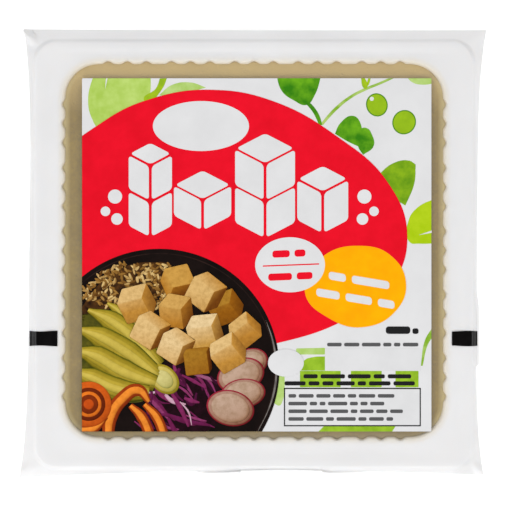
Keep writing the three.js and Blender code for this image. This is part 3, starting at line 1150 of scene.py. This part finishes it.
class BuildLeaves(bpy.types.Operator):
    """Prints the leaves, stems and round fruit at the label's edges"""

    bl_idname = "tofu_pack.leaves"
    bl_label = "Leaves"

    def execute(self, context):
        settings = context.scene.tofu_print
        pale = [field([(-50.6, 57), (-52.6, 49), (-51.4, 42.5), (-49, 39.5), (-41, 42.5), (-34, 48.5),
                       (-33, 57)], (0, 6))]
        print_coat("print_pale_leaf", pale, 1,
                   flexo_ink("pale_leaf_ink", settings.light_green, "#B4CE6E", 5.0))
        bright = [field([(47.4, 10.8), (50.2, 14.8), (57, 18), (57, 3.7), (50.8, 3.5), (47.7, 4)], (2, 3))]
        print_coat("print_bright_leaf", bright, 1,
                   flexo_ink("bright_leaf_ink", linear("#ABC61C"), "#9DBC0C", 5.0))
        faint = [
            field([(-30.5, 49.8), (-26, 49.6), (-21, 50.8), (-15.8, 52.2), (-20.6, 53.8), (-26.5, 53)],
                  (0, 3)),
            field([(46.4, 56), (48.6, 53.8), (51.6, 53.1), (56, 53.6), (56, 57)], (0, 3, 4)),
            patch([(12.3, -31.1), (21.3, -31.1), (21.3, -29.0), (12.3, -29.2)], 0.3),
            field([(7.0, -37.6), (8.7, -37.9), (8.7, -44), (6.6, -47)], (0, 1, 2)),
        ]
        print_coat("print_faint_leaves", faint, 1,
                   flexo_ink("faint_leaf_ink", linear("#B2CB7C"), "#9DBD5C", 4.0))
        deep = [
            field([(6.0, 57), (7.8, 51.2), (11.6, 48.2), (15.6, 46.8), (18, 49.6), (20.4, 57)], (0, 5)),
            field([(24.4, 37.8), (26, 41), (30, 43.4), (32.3, 41.3), (32.4, 33.5), (28, 35.6)], (0, 4)),
        ]
        over = [
            field([(31.9, 38.8), (34.2, 39.6), (36, 37.4), (36.5, 34), (33.2, 31.2), (31.6, 34)], (4,)),
            field([(15.2, 47.3), (17.2, 45), (18.7, 42.3), (19.5, 40.3), (20.4, 40.6), (19.6, 43.4),
                   (18, 46), (16.2, 47.9)], (0, 3, 4, 7)),
        ]
        dark_ink = flexo_ink("dark_leaf_ink", settings.dark_green, "#66A41A", 5.0)
        print_coat("print_dark_leaves", deep, 1, dark_ink)
        print_coat("print_dark_lobe", over, 2, dark_ink)
        olive = [field([(37.5, 24.5), (42.6, 28.6), (47.6, 29.4), (49.6, 28.2), (49.2, 22.4),
                        (46.4, 15.4), (42, 18)], (0, 3, 5, 6))]
        print_coat("print_olive_leaf", olive, 2,
                   flexo_ink("olive_leaf_ink", linear("#82A91A"), "#5F8E14", 4.0))
        low = [
            field([(13.6, -36.1), (14.8, -33), (17.6, -31.9), (21.3, -31.7), (21.3, -36.1)], (0, 3, 4)),
            patch([(13.5, -41.3), (26.2, -41.3), (26.2, -36.2), (13.5, -36.2)], 0.2),
            patch([(29.4, -41.3), (39.0, -41.3), (39.0, -36.2), (29.4, -36.2)], 0.2),
            patch([(43.3, -41.3), (50.5, -41.3), (50.5, -36.2), (43.3, -36.2)], 0.2),
            field([(18.4, -56), (20.9, -53.5), (31.5, -53.5), (43.3, -53.5), (41.7, -56)], (0, 1, 3, 4)),
        ]
        print_coat("print_low_leaves", low, 1, flexo_ink("leaf_green_ink", linear("#97BC30"), "#7FA522", 3.5))
        stems = [
            field([(20.0, 41.0), (24.2, 45.8), (29, 49.6), (34, 52.2), (38.6, 54.0), (44, 56.5), (45.6, 56.5),
                   (38.9, 53.3), (34.3, 51.4), (29.4, 48.8), (24.8, 45), (20.6, 40.4)], (0, 5, 6, 11)),
            field([(55, -22.4), (52.5, -26.6), (51.2, -34.6), (51.8, -34.6), (53.4, -28), (55, -25.4)],
                  (0, 2, 3, 5)),
        ]
        print_coat("print_stems", stems, 1, flexo_ink("stem_green_ink", linear("#7BA52A"), "#A6C068", 4.0))
        shoots = [
            field([(-29.8, 57), (-27.4, 57), (-29.6, 51.6), (-33.6, 47.9), (-35.2, 48.3), (-31.4, 52)],
                  (0, 1)),
            field([(32.4, 56), (33.3, 56), (34.5, 52.2), (33.8, 51.8)], (0, 1)),
            field([(35, 56), (35.8, 56), (34.9, 53), (34.6, 52.8)], (0, 1)),
        ]
        print_coat("print_shoots", shoots, 2, flexo_ink("shoot_green_ink", linear("#A3BE1A"), "#86A820", 4.0))
        fruit = ((37.5, 46.8, 3.0, 3.3, 20), (46.0, 41.4, 3.3, 3.5, -30))
        print_coat("print_fruit_outlines", [oval(u, v, across + 0.35, along + 0.35, turn)
                                            for u, v, across, along, turn in fruit],
                   1, flexo_ink("deep_outline_ink", linear("#4E8419"), None, 3.0))
        print_coat("print_fruit", [oval(*shape) for shape in fruit], 2,
                   flexo_ink("fruit_green_ink", settings.mid_green, "#84A81A", 4.0))
        veins = [field([(-46.9, 57), (-46.1, 57), (-47.3, 51.6)], (0, 1, 2)),
                 field([(50.6, 6.2), (54.6, 7.6), (54.6, 6.9)], (0, 1, 2)),
                 oval(35.9, 48.7, 0.65, 0.65, sides=24)]
        print_coat("print_veins", veins, 3, flexo_ink("white_vein_ink", settings.lettering, None, 5.0))
        return {"FINISHED"}


class BuildPanel(bpy.types.Operator):
    """Prints the date box, the framed panel and the bars that stand for its lines"""

    bl_idname = "tofu_pack.panel"
    bl_label = "Small panel"

    def execute(self, context):
        settings = context.scene.tofu_print
        left, right, low, high, line = 8.5, 51.2, -53.3, -41.7, 0.36
        boxes = [patch([(left, low), (right, low), (right, high), (left, high)], 0.2),
                 patch([(21.3, -36.2), (right, -36.2), (right, -29.2), (21.3, -29.2)], 0.2)]
        print_coat("print_boxes", boxes, 2, flexo_ink("white_box_ink", settings.lettering, None, 9.0))
        bars = []
        for v, u_from, u_to, seed in ((-28.0, 22.0, 50.4, 27), (-44.0, 9.9, 43.5, 21), (-46.4, 9.9, 39.8, 22),
                                      (-48.8, 9.9, 46.2, 23), (-51.2, 9.9, 43.6, 24)):
            bars += word_bars(u_from, u_to, v, 1.1, seed, longest=6.0)
        print_coat("print_panel_bars", bars, 4, flexo_ink("grey_bar_ink", settings.grey, None, 3.0))
        bold = [bar(40.3, -23.5, 7.6, 2.3), bar(48.6, -23.8, 1.9, 1.7),
                bar(left, low, right - left, line), bar(left, high, right - left, line)]
        for u in (left, right - line):
            bold.append(patch([(u, low), (u + line, low), (u + line, high), (u, high)], 0.1))
        for v, u_from, seed in ((-37.9, 14.6, 25), (-40.1, 8.7, 26)):
            bold += word_bars(u_from, 50.3, v, 1.25, seed, longest=8.0)
        print_coat("print_bold_bars", bold, 4, flexo_ink("black_bar_ink", linear("#1E1E1F"), None, 3.0))
        return {"FINISHED"}


class BuildBowl(bpy.types.Operator):
    """Prints the dark bowl of the food picture, with its rim and its bed of rice"""

    bl_idname = "tofu_pack.bowl"
    bl_label = "Bowl and rice"

    def execute(self, context):
        settings = context.scene.tofu_print
        print_coat("print_bowl", [oval(BOWL_U, BOWL_V, BOWL_RADIUS, BOWL_RADIUS, sides=128)], 5,
                   flexo_ink("bowl_black_ink", settings.bowl, "#160D0B", 6.0))
        # The rim is a thin ring, and catches light on its right.
        glint = field([(2.8, -20.1), (5.4, -27.4), (6.4, -35.6), (5.2, -44.6), (-0.3, -56.5), (4.6, -44.6),
                       (5.85, -35.6), (4.9, -27.4)], (0, 4))
        print_coat("print_bowl_rim", [oval_ring(BOWL_U, BOWL_V, 36.2, 36.2, 0.3)], 5.5,
                   flexo_ink("bowl_rim_ink", linear("#2C1C18"), "#170E0C", 5.0))
        print_coat("print_rim_glint", [glint], 5.5,
                   flexo_ink("rim_glint_ink", linear("#85807C"), "#4A4340", 5.0))
        bed = field([(-58, -24), (-53.6, -15), (-47.5, -7.6), (-41, -3.6), (-33, -2.3), (-26.5, -3.6),
                     (-26, -11), (-36, -13), (-44, -16), (-50, -19)])
        print_coat("print_rice_bed", [bed], 6, flexo_ink("rice_bed_ink", linear("#4E3012"), "#22130A", 1.8))
        pick = random.Random(41)
        # One grain is modelled, and each of the others is a copy of it.
        clear_selection()
        bpy.ops.mesh.primitive_uv_sphere_add(segments=8, ring_count=6, radius=1)
        bpy.ops.object.shade_smooth()
        model = bpy.context.object
        grains = []
        while len(grains) < RICE_GRAINS:
            u, v = pick.uniform(-54, -26), pick.uniform(-20, -2.8)
            from_bowl = math.hypot(u - BOWL_U, v - BOWL_V)
            if not 19 < from_bowl < 35.0 or v < -18.5 - (u + 40) * 0.35:
                continue
            grain = model.copy()
            grain.data = model.data.copy()
            bpy.context.collection.objects.link(grain)
            grain.location = (label_x(u), label_y(v), 0)
            grain.rotation_euler = (0, 0, pick.uniform(0, math.pi))
            grain.scale = (pick.uniform(0.85, 1.35) * MM, pick.uniform(0.34, 0.48) * MM, 0.4 * MM)
            make_active(grain)
            apply_place()
            grains.append(picture_flat(grain, len(grains) % 4, pick.random()))
        bpy.data.objects.remove(model)
        finish_piece(join_pieces(grains, "print_rice"),
                     process_ink("rice_inks", ("#583410", "#9C7234", "#DDBE80"), (0.35, 0.28, 0.2), 0.8), 60)
        return {"FINISHED"}


class BuildSlices(bpy.types.Operator):
    """Prints the fanned avocado slices"""

    bl_idname = "tofu_pack.slices"
    bl_label = "Avocado slices"

    def execute(self, context):
        level = 4
        fans = [
            ([(-46.6, -15), (-41.6, -18.6), (-35.6, -24.4), (-30.4, -32)], 5.6),
            ([(-52.6, -17.2), (-45.5, -20.6), (-37.6, -26.8), (-30.6, -34.6)], 7.8),
            ([(-56, -23), (-48.6, -25.8), (-40, -31), (-30.8, -37.8)], 8.4),
            ([(-57, -29.5), (-50, -31.8), (-41.6, -36.6), (-31.6, -40.2)], 8.4),
            ([(-58, -36), (-51.5, -38.4), (-43.6, -42), (-33.6, -43)], 7.6),
        ]
        bed = field([(-58, -22), (-51, -17.5), (-40, -21), (-31, -31), (-29, -40), (-35, -45.5),
                     (-46, -45), (-58, -42)])
        print_coat("print_avocado_bed", [bed], 6,
                   flexo_ink("avocado_bed_ink", linear("#5A5416"), "#3A3C12", 3.0))
        slices = []
        for places, width in fans:
            taper = [width * 0.16, width * 0.86, width, width * 0.62]
            for share, tone, rise in ((1.0, 0.16, 0), (0.9, 0.42, 1), (0.64, 0.6, 2), (0.34, 0.78, 3)):
                item = strand(places, [w * share for w in taper], 3)
                slices.append(picture_flat(item, level + rise, tone))
            level += 4
        # The slices run together in a paler end.
        for share, tone, rise in ((1.0, 0.45, 0), (0.86, 0.85, 1), (0.6, 1.0, 2)):
            item = flat_ball(-28.9, -38.8, 5.4 * share, 4.0 * share, 1.4, -44)
            slices.append(picture_flat(item, 12 + rise, tone))
        avocado = process_ink("avocado_inks", ("#3F5A16", "#80761A", "#AC942A", "#C8B046", "#CCC27E"),
                              (0.26, 0.3, 0.12), 2.4, 0.14, (0.74, 0.74, 0.6), (0.3, 0.7, 0.94))
        finish_piece(join_pieces(slices, "print_avocado"), avocado, 60)
        return {"FINISHED"}


class BuildVegetables(bpy.types.Operator):
    """Prints the carrot ribbons, the strands of red cabbage and the radish slices"""

    bl_idname = "tofu_pack.vegetables"
    bl_label = "Vegetables"

    def execute(self, context):
        # Red cabbage: strands that cross and lie over each other.
        pick = random.Random(52)
        strands = []
        main = [
            [(-36.5, -41), (-32.4, -44.6), (-28, -49.6)], [(-35, -43.4), (-31.4, -47), (-27.2, -51.6)],
            [(-26.6, -43), (-24, -47.4), (-21.2, -53.6)], [(-25.8, -34.2), (-25.4, -37.6), (-27, -41)],
            [(-24.1, -35.4), (-25, -38.4), (-22.4, -41)], [(-20.6, -39.2), (-17.6, -38.9), (-16.8, -42.3)],
            [(-28, -49.8), (-23, -51.6), (-14.5, -53.2)], [(-22.4, -43.8), (-20.3, -46.6), (-18.7, -43)],
            [(-27.6, -51), (-25, -56)], [(-29.6, -38.6), (-27, -39), (-25.4, -42)],
        ]
        for place in main:
            strands.append((place, pick.uniform(1.3, 1.9)))
        for _ in range(LOOSE_STRANDS):
            u, v = pick.uniform(-36, -12), pick.uniform(-54, -37)
            if math.hypot(u - BOWL_U, v - BOWL_V) > 34:
                continue
            turn = pick.uniform(-1.4, -0.2)
            reach = pick.uniform(2.2, 4.6)
            bend = pick.uniform(-1.6, 1.6)
            du, dv = math.cos(turn) * reach, math.sin(turn) * reach
            strands.append(([(u - du, v - dv), (u - dv * bend / reach, v + du * bend / reach),
                             (u + du, v + dv)], pick.uniform(0.6, 1.5)))
        pieces = []
        bed = field([(-38, -40), (-31, -34.5), (-20, -35.5), (-11, -40), (-9.5, -48), (-14, -54), (-24, -57),
                     (-32, -57), (-30, -50)])
        print_coat("print_cabbage_bed", [bed], 6,
                   flexo_ink("cabbage_bed_ink", linear("#220814"), "#120507", 2.4))
        pick.shuffle(strands)
        for order, (places, width) in enumerate(strands):
            item = strand(places, [width * 0.5, width, width * 0.4])
            pieces.append(picture_flat(item, order % 12, pick.random()))
        cabbage = process_ink("red_cabbage_inks", ("#2C0A1E", "#561240", "#7C2458", "#8E3A6C", "#D8B4C8"),
                              (0.2, 0.12, 0.2), 1.2)
        finish_piece(join_pieces(pieces, "print_cabbage"), cabbage, 60)

        # Carrot: a cut end with its paler core, and ribbons that curl beside it.
        carrots = []
        ribbons = [([(-46.4, -57), (-45.6, -50.6), (-42, -45), (-37, -42.2), (-33.6, -45.8)],
                    [3.6, 4.4, 4.4, 4.0, 1.6]),
                   ([(-39.4, -47), (-36, -50.4), (-33, -57)], [1.8, 3.4, 3.4]),
                   ([(-35, -46.6), (-31.4, -50.4), (-28.6, -57)], [1.8, 3.2, 3.2]),
                   ([(-57, -54.8), (-51, -54.2), (-46.8, -50.4)], [3.4, 3.2, 1.4])]
        for order, (places, widths) in enumerate(ribbons):
            for share, tone, rise in ((1.0, 0.15, 0), (0.55, 0.85, 1)):
                item = strand(places, [w * share for w in widths], 3)
                carrots.append(picture_flat(item, 27 + order * 2 + rise, tone))
        for across, tone, rise in ((7.1, 0.45, 0), (5.2, 0.0, 1), (4.0, 0.7, 2), (3.0, 0.05, 3),
                                   (1.6, 0.35, 4)):
            carrots.append(picture_flat(flat_ball(-52.4, -46.6, across, across, across * 0.45, rings=16),
                                        36 + rise, tone))
        carrot = process_ink("carrot_inks", ("#6A2408", "#C04A12", "#E0701C", "#EE9838"),
                             (0.4, 0.28, 0.2), 1.8, 0.2)
        finish_piece(join_pieces(carrots, "print_carrot"), carrot, 60)

        # Radish: thin round slices with a red skin, one over the other.
        hearts = []
        for order, (u, v, across, along, turn) in enumerate((
                (-2.6, -34.0, 6.4, 4.6, 24), (-5.0, -37.6, 7.6, 5.4, 18),
                (-4.2, -43.2, 7.0, 4.6, 6), (-8.2, -47.8, 7.6, 5.6, -14))):
            level = 16 + order * 3
            for share, tone, rise in ((1.0, 0.0, 0), (0.93, 0.5, 1), (0.8, 1.0, 2)):
                item = flat_ball(u, v, across * share, along * share, 1.4, turn)
                hearts.append(picture_flat(item, level + rise, tone))
        radish = process_ink("radish_inks", ("#96283A", "#A67E6E", "#B79A86"), (0.25, 0.15, 0.1), 2.2, 0.25,
                             (0.7, 0.56, 0.46), (0.3, 0.68, 0.92))
        finish_piece(join_pieces(hearts, "print_radish"), radish, 60)
        return {"FINISHED"}


class BuildCubes(bpy.types.Operator):
    """Prints the diced tofu of the food picture"""

    bl_idname = "tofu_pack.cubes"
    bl_label = "Diced tofu"

    def execute(self, context):
        pieces = []
        # Middle, width, turn about the viewer's axis, lean, and tone from cream to golden to dull.
        dice = (
            (-24.6, -8.4, 8.0, 12, -30, 0.62), (-9.6, -16.4, 8.0, 20, 34, 0.9),
            (-15.9, -11.6, 8.8, -38, 30, 0.4), (-37.4, -15.2, 8.9, 14, 32, 0.35),
            (-3.6, -23.6, 7.6, 38, 26, 0.45), (-25.2, -17.6, 8.2, -10, 36, 0.55),
            (-33.2, -23.6, 8.6, -34, 26, 0.3), (-16.2, -24.0, 8.8, 6, 28, 0.05),
            (-9.0, -30.6, 8.6, 30, 26, 0.3), (-25.2, -28.6, 8.2, -34, 32, 0.15),
            (-18.4, -33.2, 7.6, 6, 12, 0.95),
        )
        for order, (u, v, width, turn, lean, tone) in enumerate(dice):
            clear_selection()
            bpy.ops.mesh.primitive_cube_add(
                size=1, location=(label_x(u), label_y(v), 0),
                rotation=(math.radians(lean), math.radians(-lean * 0.7), math.radians(turn)))
            apply_place((width * MM, width * 0.96 * MM, width * 0.92 * MM))
            piece = bpy.context.object
            edit_all((bpy.ops.mesh.bevel, {"offset": width * 0.07 * MM, "segments": 2, "affect": "EDGES"}))
            bpy.ops.object.shade_smooth_by_angle(angle=math.radians(25))
            pieces.append(picture_flat(piece, 26 + order * 2, tone))
        tofu = process_ink("diced_tofu_inks", ("#E0C698", "#D6B276", "#C08E38", "#98691A"),
                           (0.22, 0.1, 0.02), 1.3, 0.22, (0.72, 0.52, 0.2), (0.34, 0.68, 0.88))
        finish_piece(join_pieces(pieces, "print_diced_tofu"), tofu, 30)
        return {"FINISHED"}


class BuildStage(bpy.types.Operator):
    """Sets out the pale floor, the soft light and the camera straight above"""

    bl_idname = "tofu_pack.stage"
    bl_label = "Stage"

    def execute(self, context):
        settings = context.scene.tofu_stage
        clear_selection()
        bpy.ops.mesh.primitive_plane_add(size=6)
        floor = name_piece("floor")
        material, shader, place = new_material("matt_white_board")
        # Matt white board, with a faint cloudiness from its paper. It is lit from below, as a
        # product table is, so that the pack's shadow on it is faint.
        cloud = add_node(material, "ShaderNodeTexNoise",
                         {"Vector": place, "Scale": per_mm(300), "Detail": 2.0})
        white = tuple(settings.floor)
        tint = add_node(material, "ShaderNodeValToRGB", {"Fac": cloud.outputs["Fac"]},
                        [(0.3, darker(white, 0.99)), (0.7, white)])
        set_inputs(material, shader, {
            "Base Color": tint.outputs["Color"], "Roughness": 0.9,
            "Emission Color": white, "Emission Strength": 0.27})
        floor.data.materials.append(material)
        for name, place, width, power in (
            ("key_light", (-0.3, -1.35, 1.1), 1.3, 21), ("fill_light", (-1.3, -0.2, 0.95), 1.1, 12),
            ("right_light", (1.3, -0.2, 0.95), 1.1, 12), ("back_light", (0.2, 1.3, 0.95), 1.1, 9.5),
        ):
            light = bpy.data.lights.new(name, "AREA")
            light.shape = "SQUARE"
            light.size = width
            light.energy = power
            lamp = bpy.data.objects.new(name, light)
            context.collection.objects.link(lamp)
            lamp.location = place
            away = np.array(place) - np.array((0, 0, 0.02))
            lamp.rotation_euler = (math.atan2(math.hypot(away[0], away[1]), away[2]), 0,
                                   math.atan2(away[0], -away[1]))
        world = bpy.data.worlds.new("soft_room")
        world.use_nodes = True
        world.node_tree.nodes["Background"].inputs["Color"].default_value = (1, 1, 1, 1)
        world.node_tree.nodes["Background"].inputs["Strength"].default_value = 0.18
        context.scene.world = world
        context.scene.view_settings.view_transform = "Standard"
        camera = bpy.data.cameras.new("camera")
        camera.sensor_width = 36
        camera.lens = 36 * settings.distance / settings.view
        camera.clip_start = 0.01
        seat = bpy.data.objects.new("camera", camera)
        context.collection.objects.link(seat)
        seat.location = (0.2 * MM, -0.07 * MM, SEAL_FACE * MM + settings.distance)
        context.scene.camera = seat
        return {"FINISHED"}


class PackPanel(bpy.types.Panel):
    """Lists the pack's pieces in the sidebar"""

    bl_idname = "VIEW3D_PT_tofu_pack"
    bl_label = "Tofu pack"
    bl_space_type = "VIEW_3D"
    bl_region_type = "UI"
    bl_category = "Tofu pack"

    def draw(self, context):
        scene = context.scene
        for operator in OPERATORS:
            self.layout.operator(operator.bl_idname)
        for settings in (getattr(scene, name) for name in SETTINGS):
            box = self.layout.box()
            for name in settings.bl_rna.properties.keys():
                if name not in ("rna_type", "name"):
                    box.prop(settings, name)


SETTINGS = {"tofu_tray": TraySettings, "tofu_block": TofuSettings, "tofu_film": FilmSettings,
            "tofu_print": PrintSettings, "tofu_stage": StageSettings}
OPERATORS = (BuildStage, BuildTray, BuildTofu, BuildFilm, BuildEyeMarks, BuildGround, BuildFields, BuildOvals,
             BuildBlocks, BuildLeaves, BuildPanel, BuildBowl, BuildSlices, BuildVegetables, BuildCubes)


def register():
    for cls in (*SETTINGS.values(), *OPERATORS, PackPanel):
        bpy.utils.register_class(cls)
    for name, cls in SETTINGS.items():
        setattr(bpy.types.Scene, name, bpy.props.PointerProperty(type=cls))


def unregister():
    for name in SETTINGS:
        delattr(bpy.types.Scene, name)
    for cls in (PackPanel, *reversed(OPERATORS), *reversed(tuple(SETTINGS.values()))):
        bpy.utils.unregister_class(cls)


def main():
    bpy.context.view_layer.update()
    register()
    for step in (
        bpy.ops.tofu_pack.stage, bpy.ops.tofu_pack.tray, bpy.ops.tofu_pack.tofu, bpy.ops.tofu_pack.film,
        bpy.ops.tofu_pack.eye_marks, bpy.ops.tofu_pack.ground, bpy.ops.tofu_pack.fields,
        bpy.ops.tofu_pack.ovals, bpy.ops.tofu_pack.blocks, bpy.ops.tofu_pack.leaves,
        bpy.ops.tofu_pack.panel, bpy.ops.tofu_pack.bowl, bpy.ops.tofu_pack.slices,
        bpy.ops.tofu_pack.vegetables, bpy.ops.tofu_pack.cubes,
    ):
        step()
    clear_selection()
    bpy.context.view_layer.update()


if __name__ == "__main__":
    main()
